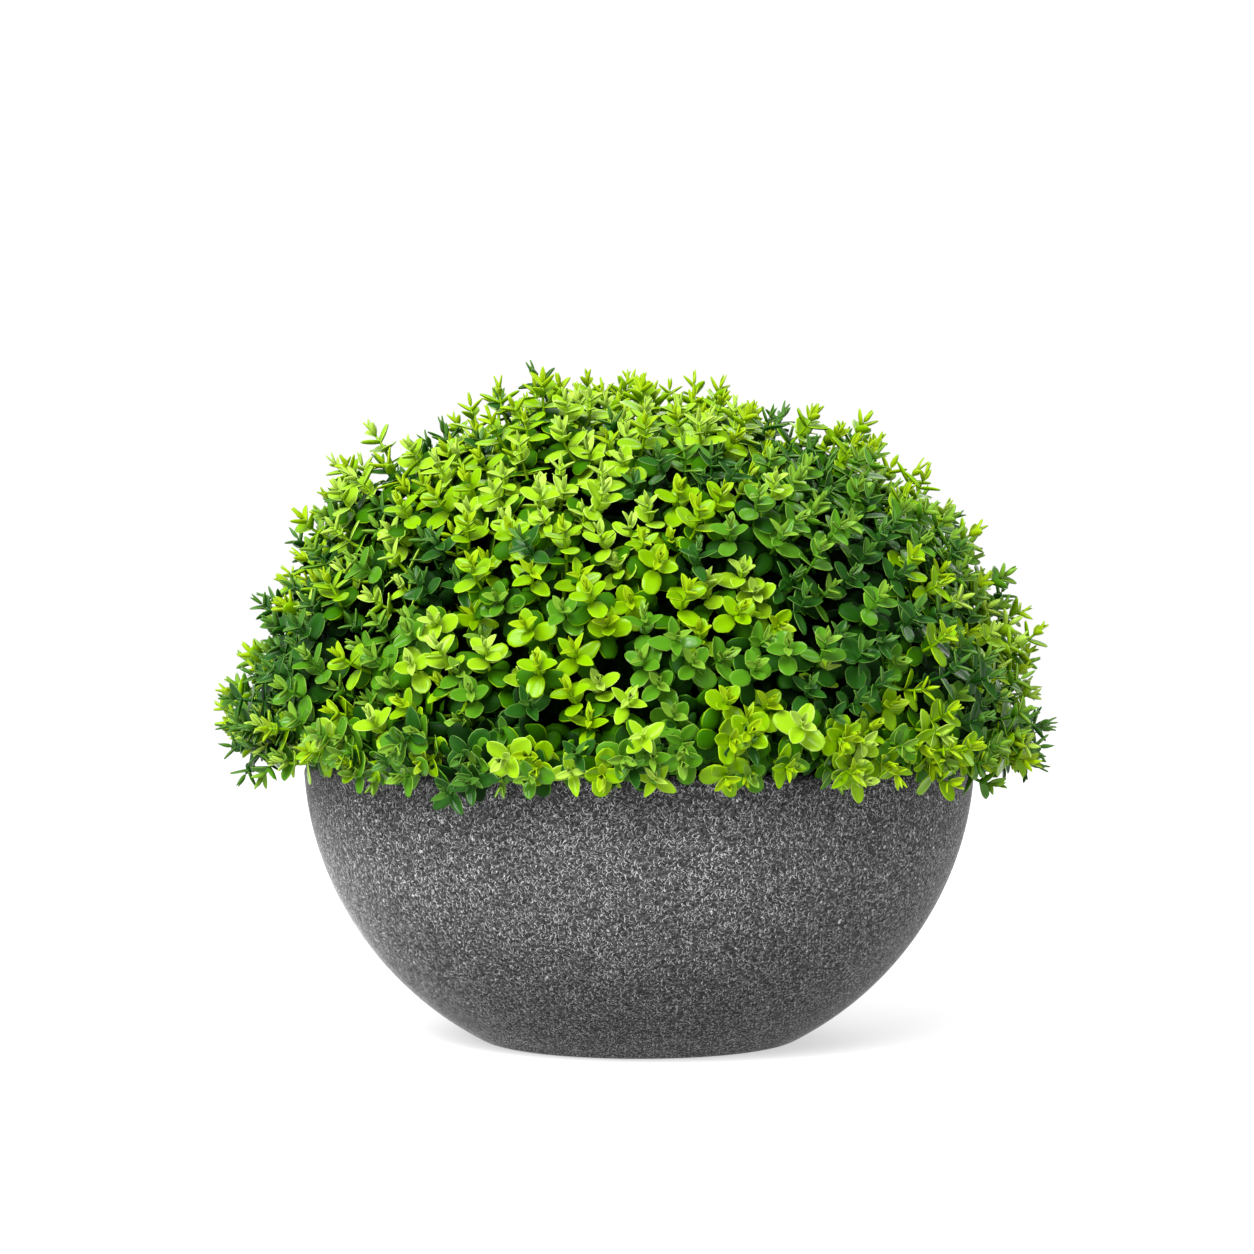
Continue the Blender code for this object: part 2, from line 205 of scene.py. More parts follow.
# Sprigs
SPRIGS = 1000
SPRIG_SEED = 4
SPRIG_JITTER = 0.20
SPRIG_SIDES = 4
SPRIG_STEPS = 6
SPRIG_THICK = 0.0013
SPRIG_THIN = 0.0008
SPRIG_SHORTER = 0.055
SPRIG_LONGER = (0.01, 0.04)
PROUD_SPRIGS = 0.22
SPRIG_REACH = 1.05
LEFT_TRIM = 0.035
SPRIG_START = 0.5
SPRIG_BOW = 0.55
SPRIG_LIFTS = (0.05, 0.75)
SPRIG_STRAY = 0.32
SPRIG_SIZES = (0.86, 1.08)
ODD_SPRIGS = 0.27
HANG_ROOT_ANGLES = (math.radians(82.5), math.radians(87.0))
HANG_ROOTS = (0.78, 0.83)
HANG_DROPS = (0.001, 0.014)
LONG_HANG = 0.012
LONG_HANGS = 0.18
HANG_STRAY = 0.08
HEM_OUT = 0.243
HEM_IN = 0.228
HEM_TIP = 0.014
HEM_RISE = 0.012
HEM_RISE_POWER = 6
HEM_TURNS = (-0.6, 0.6)

# Leaves
TURN_STRAY = 0.16
SPREAD_STRAY = 0.13
LEAF_THICKNESS = 0.0008
RIM_SHARE = 0.92
FINE_STATIONS = (0.08, 0.28, 0.52, 0.76, 0.93)
COARSE_STATIONS = (0.10, 0.38, 0.68, 0.92)
FINE_COLUMNS = (-1.0, -RIM_SHARE, -0.45, 0.0, 0.45, RIM_SHARE, 1.0)
COARSE_COLUMNS = (-1.0, -0.55, 0.0, 0.55, 1.0)
BEND_STRAY = 0.12
CUP_STRAY = 0.12
EDGE_STRAY = 0.07
RIB_DEPTH = 0.10
RIB_POWER = 3
PUFF = 0.07
VARIANTS = 5
FORM_SEED = 9
SMALLER_TRIES = (1.0, 0.8, 0.62)
BOX_MARGIN = 0.0002
PATH_STEP = 0.002
# Each pair from the tip down: how far below the tip it is, its spread from the stem in degrees, its
# leaves' length and width, the exponents that shape their base and tip, how much they cup and bend
# upwards, and whether they are finely made
LEAF_PAIRS = (
    (0.0000, 17.0, 0.0092, 0.0033, 0.60, 0.95, 0.60, 0.10, True),
    (0.0030, 54.0, 0.0110, 0.0052, 0.60, 0.80, 0.55, 0.10, True),
    (0.0076, 64.0, 0.0134, 0.0082, 0.56, 0.60, 0.40, 0.04, True),
    (0.0140, 71.0, 0.0150, 0.0110, 0.50, 0.50, 0.10, -0.08, True),
    (0.0215, 78.0, 0.0155, 0.0120, 0.50, 0.46, -0.35, -0.16, True),
    (0.0300, 84.0, 0.0150, 0.0122, 0.50, 0.45, -0.45, -0.14, False),
)
BUD_LENGTH = LEAF_PAIRS[0][2]

# Colours as red, green and blue from 0 to 255
STONE_COLOURS = ((36, 36, 37), (68, 68, 69))
DARK_FLAKE = (2, 2, 2)
PALE_FLAKE = (210, 210, 210)
# The colour of the shade painted over the bowl's foot
PAINTED_SHADE_COLOUR = (4, 4, 4)
FILLING_COLOURS = ((24, 19, 14), (70, 54, 38))
BARK_COLOURS = ((44, 32, 20), (104, 80, 52))
# The inner crown's greens, darkened to near black as painted shade
TANGLE_SHADE_COLOURS = ((2, 5, 1), (12, 26, 5))
# Rim tones are paler partly as the plastic's edge and partly as painted highlight
TONES = {
    # The pale family is lime painted lighter and milkier as highlight
    "pale_tip": (124, 152, 50),
    "pale_mid": (108, 144, 14),
    "pale_low": (38, 81, 0),
    "pale_rim": (135, 160, 70),
    "lime_tip": (113, 141, 7),
    "lime_mid": (93, 131, 1),
    "lime_low": (34, 75, 0),
    "lime_rim": (120, 147, 14),
    "green_tip": (87, 122, 31),
    "green_mid": (56, 100, 14),
    "green_low": (15, 47, 3),
    "green_rim": (93, 124, 39),
    "deep_tip": (52, 89, 25),
    "deep_mid": (25, 63, 12),
    "deep_low": (6, 28, 2),
    "deep_rim": (75, 106, 43),
}
# The tone of each pair from the tip down; the low tones are darker partly as a darker dye at a sprig's base
# and partly as painted shade
PAIR_TONES = ("tip", "tip", "mid", "mid", "low", "low")
# How wide the leaves of each shape are, and how much sharper their tips
LEAF_SHAPES = {"round": (1.04, -0.02), "slim": (0.76, 0.18)}
# How many sprigs of each family have slim leaves, and how many more high on the crown
SLIM_CHANCES = {"pale": 0.25, "lime": 0.25, "green": 0.15, "deep": 0.75}
SLIM_HIGH = 0.25
HIGH_ABOVE = math.radians(48.0)
# Where the crown's front has its patches, as azimuths and polar angles in degrees
PATCHES = {
    # Pale: painted highlight, its patches mostly on the lit upper left
    "pale": (
        (-112, 46), (-104, 36), (-98, 43), (-118, 54), (-91, 51), (-126, 42), (-84, 33), (-70, 30),
        (-106, 50), (-134, 61), (-76, 64), (-100, 24), (-60, 88), (-92, 78), (-97, 56),
    ),
    "lime": (
        (-110, 60), (-104, 57), (-95, 36), (-88, 57), (-96, 64), (-107, 68), (-38, 61), (-28, 70),
        (-122, 80), (-107, 77), (-95, 73), (-94, 84), (-102, 93), (-77, 86), (-69, 85), (-52, 86),
        (-42, 86), (-141, 87), (-140, 44), (-118, 33), (-60, 34), (-165, 60), (-10, 50), (-135, 28),
        (-115, 63), (-128, 50), (-73, 68), (-57, 86), (-79, 49), (-81, 65), (-72, 80), (-54, 90),
    ),
    "green": (
        (-131, 68), (-138, 75), (-128, 76), (-116, 72), (-114, 82), (-118, 88), (-130, 86), (-87, 73),
        (-73, 75), (-66, 48), (-28, 86), (-150, 58), (-70, 58), (-99, 70), (-136, 90), (-20, 60),
        (-86, 86), (-156, 86), (-54, 46), (-110, 88), (-105, 87), (-66, 65), (-58, 56),
    ),
    "deep": (
        (-126, 57), (-86, 45), (-127, 63), (-64, 80), (-54, 64), (-46, 58), (-64, 76), (-54, 74),
        (-44, 76), (-34, 78), (-150, 70), (-152, 80), (-48, 48), (-72, 42), (-160, 84), (-142, 66),
        (-168, 86), (-165, 76), (-90, 90), (-112, 84), (-122, 90), (-152, 88), (-28, 78), (-50, 66),
    ),
}
PATCH_SIZE = math.radians(7.5)
FAMILY_CHANCES = {"pale": 0.10, "lime": 0.38, "green": 0.28, "deep": 0.24}
# Roughness and specular level of the outer leaves, and of the shaded ones below them
LEAF_GLOSS = (0.20, 0.08)
SHADED_GLOSS = (0.50, 0.03)


def unit(way):
    return way / np.linalg.norm(way)


def compass(azimuth):
    return np.array((math.cos(azimuth), math.sin(azimuth), 0.0))


def heading(azimuth, polar):
    """The direction at an angle from straight up."""
    return math.sin(polar) * compass(azimuth) + math.cos(polar) * UP


def angles(way):
    """Azimuth and polar angle of a unit direction, or of each row of directions."""
    return np.arctan2(way[..., 1], way[..., 0]), np.arccos(np.clip(way[..., 2], -1.0, 1.0))


def across(way):
    """Two directions square to the given one and to each other."""
    helper = UP if abs(way[2]) < NEARLY_UPRIGHT else np.array((1.0, 0.0, 0.0))
    side = unit(np.cross(way, helper))
    return side, np.cross(way, side)


def piece(name, points, faces, finishes, slots=None):
    """A smooth mesh object from its points and faces."""
    mesh = bpy.data.meshes.new(name)
    mesh.from_pydata(points, [], faces)
    for finish in finishes:
        mesh.materials.append(finish)
    if slots is not None:
        mesh.polygons.foreach_set("material_index", slots)
    mesh.shade_smooth()
    made = bpy.data.objects.new(name, mesh)
    bpy.context.scene.collection.objects.link(made)
    return made


def dress(made, slot, *nodes):
    """Attaches a piece to the root body and hides the nodes that it stands for. The slot is not used."""
    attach(made, "root")
    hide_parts(*nodes)


def skin(rings, first, last):
    """Points and faces of a closed shape skinned over rings, from one end point to another."""
    rings = np.asarray(rings)
    count, sides = rings.shape[:2]
    points = np.vstack((rings.reshape(-1, 3), first, last))
    foot = count * sides
    faces = []
    for i in range(sides):
        after = (i + 1) % sides
        faces.append((foot, after, i))
        faces.append((foot + 1, foot - sides + i, foot - sides + after))
        for ring in range(0, foot - sides, sides):
            faces.append((ring + i, ring + after, ring + sides + after, ring + sides + i))
    return points, faces


def tube(path, radii, sides):
    """Points and faces of a closed round stem along a path."""
    path = np.asarray(path)
    rings = []
    for i, point in enumerate(path):
        side, other = across(unit(path[min(i + 1, len(path) - 1)] - path[max(i - 1, 0)]))
        turns = np.arange(sides) * 2.0 * math.pi / sides
        round_it = np.outer(np.cos(turns), side) + np.outer(np.sin(turns), other)
        rings.append(point + radii[i] * round_it)
    return skin(rings, path[0], path[-1])


def joined(shapes):
    """Points and faces of several shapes as one."""
    points = []
    faces = []
    count = 0
    for shape_points, shape_faces in shapes:
        points.append(shape_points)
        faces += [tuple(count + corner for corner in face) for face in shape_faces]
        count += len(shape_points)
    return np.vstack(points), faces


class Socket:
    """An output of a shader node. Python's operators on it add Math nodes."""

    def __init__(self, finish, link):
        self.finish = finish
        self.link = link

    def maths(self, operation, *values):
        inputs = dict(enumerate(values))
        return self.finish.add("ShaderNodeMath", {"operation": operation}, inputs)["Value"]

    def __add__(self, other):
        return self.maths("ADD", self, other)

    __radd__ = __add__

    def __sub__(self, other):
        return self.maths("SUBTRACT", self, other)

    def __rsub__(self, other):
        return self.maths("SUBTRACT", other, self)

    def __mul__(self, other):
        return self.maths("MULTIPLY", self, other)

    __rmul__ = __mul__

    def __abs__(self):
        return self.maths("ABSOLUTE", self)

    def or_more(self, other):
        return self.maths("MAXIMUM", self, other)

    def between(self, low, high):
        """Rises smoothly from 0 at the low value to 1 at the high one."""
        inputs = {"Value": self, "From Min": low, "From Max": high}
        return self.finish.add("ShaderNodeMapRange", {"interpolation_type": "SMOOTHSTEP"}, inputs)["Result"]


class Finish:
    """A material and the nodes that its Principled shader reads."""

    def __init__(self, name, **constants):
        self.material = bpy.data.materials.new(name)
        self.material.use_nodes = True
        self.tree = self.material.node_tree
        self.shader = self.tree.nodes["Principled BSDF"]
        for socket, value in constants.items():
            self.shader.inputs[socket.replace("_", " ")].default_value = value

    def add(self, kind, settings, inputs):
        """Adds a node. Its settings come first, and then the values or links of its sockets."""
        node = self.tree.nodes.new(kind)
        for name, value in settings.items():
            setattr(node, name, value)
        usable = {socket.name: socket for socket in node.inputs if socket.enabled}
        for name, value in inputs.items():
            socket = node.inputs[name] if isinstance(name, int) else usable[name]
            if isinstance(value, Socket):
                self.tree.links.new(value.link, socket)
            else:
                socket.default_value = value
        return {socket.name: Socket(self, socket) for socket in node.outputs if socket.enabled}

    def feed(self, name, value):
        self.tree.links.new(value.link, self.shader.inputs[name])

    def place(self):
        return self.add("ShaderNodeTexCoord", {}, {})["Object"]

    def grain(self, scale, detail=2.0, seed=0.0):
        """Noise over the surface, with features about one scale-th of a metre across."""
        inputs = {"Vector": self.place(), "Scale": scale, "Detail": detail, "W": seed}
        return self.add("ShaderNodeTexNoise", {"noise_dimensions": "4D"}, inputs)["Fac"]

    def vectors(self, operation, output, *values):
        inputs = dict(enumerate(values))
        return self.add("ShaderNodeVectorMath", {"operation": operation}, inputs)[output]

    def flakes(self, scale, shift, curl, thickness, faintest):
        """Where the surface cuts through thin curled flakes, each stronger or fainter by chance.

        A flake is the part near its cell's middle of a sphere that passes through that middle. Its
        curl and thickness are given in cells, and a cell is about one scale-th of a metre wide.
        """
        found = 0.0
        for layer in range(FLAKE_LAYERS):
            cells_a_metre = scale + FLAKE_STEP * layer
            radius = curl / cells_a_metre
            half = thickness / cells_a_metre
            reach = FLAKE_REACH / cells_a_metre
            away = shift + FLAKE_SHIFT * layer
            place = self.vectors("ADD", "Vector", self.place(), (away, away, away))
            cells = self.add("ShaderNodeTexVoronoi", {}, {"Vector": place, "Scale": cells_a_metre})
            arm = self.vectors("SUBTRACT", "Vector", place, cells["Position"])
            centre = self.vectors("SUBTRACT", "Vector", cells["Color"], (0.5, 0.5, 0.5))
            centre = self.vectors("NORMALIZE", "Vector", centre)
            centre = self.vectors("MULTIPLY", "Vector", centre, (radius, radius, radius))
            off = self.vectors("DISTANCE", "Value", arm, centre) - radius
            far = self.vectors("LENGTH", "Value", arm)
            chance = self.vectors("DOT_PRODUCT", "Value", cells["Color"], (1.0, 0.0, 0.0))
            near_face = 1.0 - abs(off).between(FLAKE_BLUR[0] * half, FLAKE_BLUR[1] * half)
            flake = near_face * (1.0 - far.between(FLAKE_FADE * reach, reach))
            found = (flake * (faintest + (1.0 - faintest) * chance * chance)).or_more(found)
        return found

    def mix(self, share, first, second):
        """From the first colour to the second one."""
        inputs = {"Factor": share, "A": first, "B": second}
        return self.add("ShaderNodeMix", {"data_type": "RGBA"}, inputs)["Result"]

    def bump(self, height, depth, strength=1.0):
        inputs = {"Height": height, "Distance": depth, "Strength": strength}
        self.feed("Normal", self.add("ShaderNodeBump", {}, inputs)["Normal"])


def linear(colour):
    """A colour from 0 to 255 as the renderer's linear one, by the usual curve of a screen."""
    shares = [value / 255.0 for value in colour]
    return (*[s / 12.92 if s < 0.04045 else ((s + 0.055) / 1.055) ** 2.4 for s in shares], 1.0)


def fleck_stone():
    """Dark grey cast stone full of thin curled flakes, pale ones and dark ones, with shade painted over its
    foot.
    """
    finish = Finish("fleck_stone", Specular_IOR_Level=0.02, Sheen_Weight=0.75, Sheen_Roughness=0.12)
    pale = finish.flakes(scale=390.0, shift=0.0, curl=0.9, thickness=0.056, faintest=0.0)
    dark = finish.flakes(scale=380.0, shift=0.4, curl=0.9, thickness=0.110, faintest=0.50)
    clouds = finish.grain(scale=24.0, detail=3.0, seed=23.0).between(0.25, 0.75)
    mottle = finish.grain(scale=600.0, detail=1.0, seed=19.0).between(0.30, 0.70)
    ground = finish.mix(mottle, *map(linear, STONE_COLOURS))
    height = finish.vectors("DOT_PRODUCT", "Value", finish.place(), (0.0, 0.0, 1.0))
    strength = DARK_STRENGTH - DARK_WEAKER * height.between(0.0, DARK_HEIGHT)
    ground = finish.mix(dark * strength, ground, linear(DARK_FLAKE))
    strength = PALE_STRENGTH + PALE_STRONGER * clouds
    flecked = finish.mix(pale * strength, ground, linear(PALE_FLAKE))
    # Shade painted into the stone's colour over the foot, full at one height and gone by another
    shade = (1.0 - height.between(0.0, SHADE_HEIGHT)) * height.between(0.0, FOOT_HEIGHT)
    finish.feed("Base Color", finish.mix(PAINTED_FOOT_SHADE * shade, flecked, linear(PAINTED_SHADE_COLOUR)))
    finish.feed("Roughness", STONE_ROUGHNESS + CLOUD_ROUGHNESS * clouds - FLAKE_POLISH * pale)
    finish.bump(pale - dark, depth=0.0002, strength=0.6)
    return finish.material


def dark_filling():
    """Crumbly dark filling."""
    finish = Finish("dark_filling", Specular_IOR_Level=0.2)
    lumps = finish.grain(scale=180.0, detail=4.0)
    finish.feed("Base Color", finish.mix(lumps.between(0.35, 0.7), *map(linear, FILLING_COLOURS)))
    finish.feed("Roughness", 0.85 + 0.1 * lumps)
    finish.bump(lumps, depth=0.003)
    return finish.material


def stem_bark():
    """Brown bark with long darker cracks."""
    finish = Finish("stem_bark", Specular_IOR_Level=0.3)
    cracks = finish.grain(scale=210.0, detail=3.0).between(0.35, 0.65)
    finish.feed("Base Color", finish.mix(cracks, *map(linear, BARK_COLOURS)))
    finish.feed("Roughness", 0.9 - 0.15 * cracks)
    finish.bump(cracks, depth=0.0006)
    return finish.material


def tangle_painted_shade():
    """The inside of the crown, green darkened to near black as painted shade."""
    finish = Finish("tangle_painted_shade", Specular_IOR_Level=0.0)
    leafy = finish.grain(scale=130.0, detail=3.0).between(0.40, 0.75)
    finish.feed("Base Color", finish.mix(leafy, *map(linear, TANGLE_SHADE_COLOURS)))
    finish.feed("Roughness", 0.9 - 0.2 * leafy)
    finish.bump(leafy, depth=0.002)
    return finish.material


def leaf_tone(name, tone):
    """One plain colour of leaf, glossy on the outer pairs and dull on the shaded ones."""
    rough, shine = SHADED_GLOSS if name.endswith("low") else LEAF_GLOSS
    return Finish(name, Base_Color=linear(tone), Roughness=rough, Specular_IOR_Level=shine).material


def belly(height, inward=0.0):
    """Radius of the bowl's wall at a height, or at each of several, moved in by a thickness."""
    drop = (BELLY_MIDDLE - height) / (BELLY_DEPTH - inward)
    return (BOWL_RADIUS - inward) * np.sqrt(np.clip(1.0 - drop * drop, 0.0, None))


def lathe(profile, sides, first, last):
    """A turned shape from radii and heights."""
    turns = np.arange(sides) * 2.0 * math.pi / sides
    around = np.stack((np.cos(turns), np.sin(turns), np.zeros(sides)), axis=1)
    return skin([radius * around + height * UP for radius, height in profile], first, last)


def bowl():
    """The shell, turned from the middle of its foot up the belly, over the lip and down inside."""
    slope = math.atan2(SLOPE_STEP, belly(SLOPE_STEP) - belly(0.0))
    flat = belly(0.0) - FOOT_ROUND * math.tan(slope / 2.0)
    profile = []
    for i in range(FOOT_RINGS + 1):
        turn = slope * i / FOOT_RINGS
        profile.append((flat + FOOT_ROUND * math.sin(turn), FOOT_ROUND * (1.0 - math.cos(turn))))
    start = profile[-1][1]
    lip = WALL / 2.0
    lip_height = BOWL_HEIGHT - lip
    for height in np.linspace(start, lip_height, BELLY_RINGS + 1)[1:]:
        profile.append((belly(height), height))
    lip_middle = belly(lip_height) - lip
    for i in range(1, LIP_RINGS + 1):
        turn = math.pi * i / LIP_RINGS
        profile.append((lip_middle + lip * math.cos(turn), lip_height + lip * math.sin(turn)))
    for height in np.linspace(lip_height, FLOOR, BELLY_RINGS // 2)[1:]:
        profile.append((belly(height, WALL), height))
    points, faces = lathe(profile, BOWL_SIDES, 0.0 * UP, FLOOR * UP)
    dress(piece("bowl_shell", points, faces, [fleck_stone()]), "bowl", "bowl")


def stem_radius(height):
    share = (height - STEM_FOOT) / (STEM_TOP - STEM_FOOT)
    taper = STEM_RADIUS * (1.0 - (1.0 - STEM_TAPER) * share)
    return taper + STEM_FLARE * (1.0 - share) ** FLARE_POWER


def stem_aside(height):
    return STEM_LEAN * math.sin(math.pi * (height - STEM_FOOT) / (STEM_TOP - STEM_FOOT))


def barky(path, radii):
    """A limb along a path whose bark is cut into it by up to a share of its radius."""
    points, faces = tube(path, radii, BARK_SIDES)
    middles = np.repeat(np.asarray(path), BARK_SIDES, axis=0)
    skin_points = points[:-2]
    for i, point in enumerate(skin_points):
        fine = abs(noise.noise(Vector(point) * BARK_FINE_SCALE))
        depth = noise.noise(Vector(point) * BARK_SCALE) ** 2 + BARK_FINE_SHARE * fine
        skin_points[i] = point + BARK_RELIEF * min(depth * BARK_STEEPNESS, 1.0) * (middles[i] - point)
    return points, faces


def stem(bark):
    """The short stem that stands on the filling."""
    heights = STEM_FOOT + (STEM_TOP - STEM_FOOT) * np.linspace(0.0, 1.0, BARK_RINGS) ** STEM_CROWDING
    path = [np.array((stem_aside(height), 0.0, height)) for height in heights]
    points, faces = barky(path, [stem_radius(height) for height in heights])
    dress(piece("stem_bark", points, faces, [bark]), "stem", "stem")


def side_azimuth(number):
    return FRONT + MASS_TURN * number


def limbs(bark):
    """The seven limbs that carry the masses, one to the top and six to the sides."""
    start = (STEM_TOP + CLEARANCE) * UP
    end = in_crown(0.0, 0.0, LIMB_END)
    path = np.linspace(start, end, BARK_RINGS)
    shapes = [barky(path, TOP_LIMB_RADIUS * np.linspace(1.0, TOP_LIMB_TAPER, BARK_RINGS))]
    for number in range(SIDE_MASSES):
        height = CROWN_MIDDLE[2] + LIMB_HEIGHTS[number % 2]
        out = compass(side_azimuth(number))
        widest = stem_radius(height - LIMB_RADIUS)
        start = np.array((stem_aside(height), 0.0, height)) + (widest + 2.0 * CLEARANCE) * out
        end = in_crown(side_azimuth(number), LIMB_END_ANGLE, LIMB_END)
        path = np.linspace(start, end, BARK_RINGS)
        path[:, 2] -= LIMB_SAG * np.sin(np.linspace(0.0, math.pi, BARK_RINGS))
        shapes.append(barky(path, [LIMB_RADIUS] * BARK_RINGS))
    points, faces = joined(shapes)
    dress(piece("limb_bark", points, faces, [bark]), "stem", *mass_names())


def mass_name(number):
    return "foliage_top" if number is None else f"foliage_side_{number + 1}"


def mass_names():
    return [mass_name(number) for number in (None, *range(SIDE_MASSES))]


def crown_reach(azimuth, polar):
    """How far leaf tips reach from the crown's middle: a squarish dome with shallow swells."""
    wide = np.abs(np.sin(polar)) / CROWN_RADIUS
    high = np.abs(np.cos(polar)) / CROWN_RISE
    dome = (wide**CROWN_SQUARENESS + high**CROWN_SQUARENESS) ** (-1.0 / CROWN_SQUARENESS)
    shoulder = CROWN_SHOULDER * np.cos(azimuth) * np.sin(2.0 * polar)
    swell = CROWN_SWELL * np.sin(SWELLS_ROUND * azimuth + SWELL_TURN) * np.sin(SWELLS_DOWN * polar + azimuth)
    return dome * (1.0 - shoulder + swell * np.sin(polar))


def in_crown(azimuth, polar, share):
    return CROWN_MIDDLE + share * crown_reach(azimuth, polar) * heading(azimuth, polar)


def top_walls():
    """The walls that hold the top mass, as inward directions."""
    lift = math.sin(TOP_ANGLE) * UP
    return [lift - math.cos(TOP_ANGLE) * compass(side_azimuth(i)) for i in range(SIDE_MASSES)]


def side_walls(number):
    """The walls that hold one side mass, as inward directions."""
    azimuth = side_azimuth(number)
    quarter = math.pi / 2.0
    return [
        compass(azimuth - MASS_TURN / 2.0 + quarter),
        compass(azimuth + MASS_TURN / 2.0 - quarter),
        math.cos(TOP_ANGLE) * compass(azimuth) - math.sin(TOP_ANGLE) * UP,
    ]


def mass_of(way):
    """The number of the side mass that a direction belongs to, or None for the top mass."""
    if all(way @ wall > 0.0 for wall in top_walls()):
        return None
    return round((math.atan2(way[1], way[0]) - FRONT) / MASS_TURN) % SIDE_MASSES


def moved_off_walls(way, walls):
    """A direction turned away from each wall that is nearer than the margin."""
    margin = WALL_MARGIN / CROWN_RADIUS
    for _ in range(WALL_ROUNDS):
        for wall in walls:
            short = margin - way @ wall
            if short > 0.0:
                way = unit(way + short * wall)
    return way


def spread_headings(count, jitter, chance):
    """Directions spread evenly over the crown, each moved a little by chance."""
    lowest = math.cos(LOWEST_TWIG)
    stray = jitter * math.sqrt(2.0 * math.pi * (1.0 - lowest) / count)
    for i in range(count):
        polar = math.acos(1.0 - (1.0 - lowest) * (i + 0.5) / count)
        azimuth = i * GOLDEN_TURN + chance.uniform(-stray, stray) / max(math.sin(polar), stray)
        polar = abs(polar + chance.uniform(-stray, stray))
        yield heading(azimuth, min(polar, LOWEST_TWIG))


def bent_path(root, out, length, bend):
    """Root, knee and tip of a twig that starts along one direction and curves by another."""
    return [root + length * (share * out + share * share * bend) for share in (0.0, TWIG_KNEE, 1.0)]


def source_twigs():
    """The part's twigs: for each its mass, its direction, its path and how far its leaves reach."""
    chance = random.Random(TWIG_SEED)
    for i, way in enumerate(spread_headings(TWIGS, TWIG_JITTER, chance)):
        number = mass_of(way)
        way = moved_off_walls(way, top_walls() if number is None else side_walls(number))
        azimuth, polar = angles(way)
        reached = 1.0
        if polar > SKIRT_BELOW:
            root = in_crown(azimuth, SKIRT_ROOT_ANGLE, chance.uniform(*SKIRT_ROOTS))
            length = chance.uniform(*SKIRT_LENGTHS)
            path = bent_path(root, compass(azimuth), length, -chance.uniform(*SKIRT_HANG) * UP)
        else:
            reached = PROUDEST if i % PROUD_EVERY == 1 else chance.uniform(LEAST_REACH, 1.0)
            length = (reached - TWIG_ROOT) * crown_reach(azimuth, polar) - LAST_LEAF
            side, other = across(way)
            bend = TWIG_LIFT * math.sin(polar) * UP
            bend = bend + chance.uniform(-TWIG_STRAY, TWIG_STRAY) * side
            bend = bend + chance.uniform(-TWIG_STRAY, TWIG_STRAY) * other
            path = bent_path(in_crown(azimuth, polar, TWIG_ROOT), way, length, bend)
        yield number, way, path, reached


def family_of(way, named):
    """The family of a twig or sprig: that of the nearest patch, or the given one where none is near."""
    nearest = math.cos(PATCH_SIZE)
    for family, places in PATCHES.items():
        for azimuth, polar in places:
            near = way @ heading(math.radians(azimuth), math.radians(polar))
            if near > nearest:
                nearest = near
                named = family
    return named


def curve(start, through, end, steps):
    """Points along a curve that leaves one point towards a second and arrives at a third."""
    share = np.linspace(0.0, 1.0, steps + 1)[:, None]
    return (1.0 - share) ** 2 * start + 2.0 * share * (1.0 - share) * through + share**2 * end


def dome_sprig(way, twig_path, reached, chance):
    """From along its twig to its own place, where it rises more steeply than the crown does."""
    azimuth, polar = angles(way)
    if chance.random() < PROUD_SPRIGS:
        reached = min(reached + chance.uniform(*SPRIG_LONGER), SPRIG_REACH)
    else:
        reached = reached - chance.uniform(0.0, SPRIG_SHORTER)
    reached -= LEFT_TRIM * max(0.0, -math.cos(azimuth)) * math.sin(2.0 * polar)
    tip = in_crown(azimuth, polar, reached) - BUD_LENGTH * way
    root = twig_path[0] + chance.uniform(0.0, SPRIG_START) * (twig_path[1] - twig_path[0])
    side, other = across(way)
    lean = way + chance.uniform(*SPRIG_LIFTS) * math.sin(polar) * UP
    lean = lean + chance.uniform(-SPRIG_STRAY, SPRIG_STRAY) * side
    lean = lean + chance.uniform(-SPRIG_STRAY, SPRIG_STRAY) * other
    through = tip - SPRIG_BOW * np.linalg.norm(tip - root) * unit(lean)
    return curve(root, through, tip, SPRIG_STEPS)


def hanging_sprig(way, chance):
    """From just above the rim over its edge, the lower the closer, with the tip turned out again.

    The hem is higher on the left.
    """
    azimuth, polar = angles(way)
    low = (polar - SKIRT_BELOW) / (LOWEST_TWIG - SKIRT_BELOW)
    root = in_crown(azimuth, chance.uniform(*HANG_ROOT_ANGLES), chance.uniform(*HANG_ROOTS))
    drop = HANG_DROPS[0] + (HANG_DROPS[1] - HANG_DROPS[0]) * low
    if chance.random() < LONG_HANGS:
        drop += LONG_HANG
    drop -= HEM_RISE * max(0.0, -math.cos(azimuth)) ** HEM_RISE_POWER
    out = compass(azimuth + chance.uniform(-HANG_STRAY, HANG_STRAY))
    tip = CROWN_MIDDLE + (HEM_OUT + (HEM_IN - HEM_OUT) * low) * out
    tip[2] = root[2] - drop
    turn = chance.uniform(*HEM_TURNS)
    through = tip - HEM_TIP * (math.cos(turn) * compass(azimuth) + math.sin(turn) * UP)
    return curve(root, through, tip, SPRIG_STEPS)


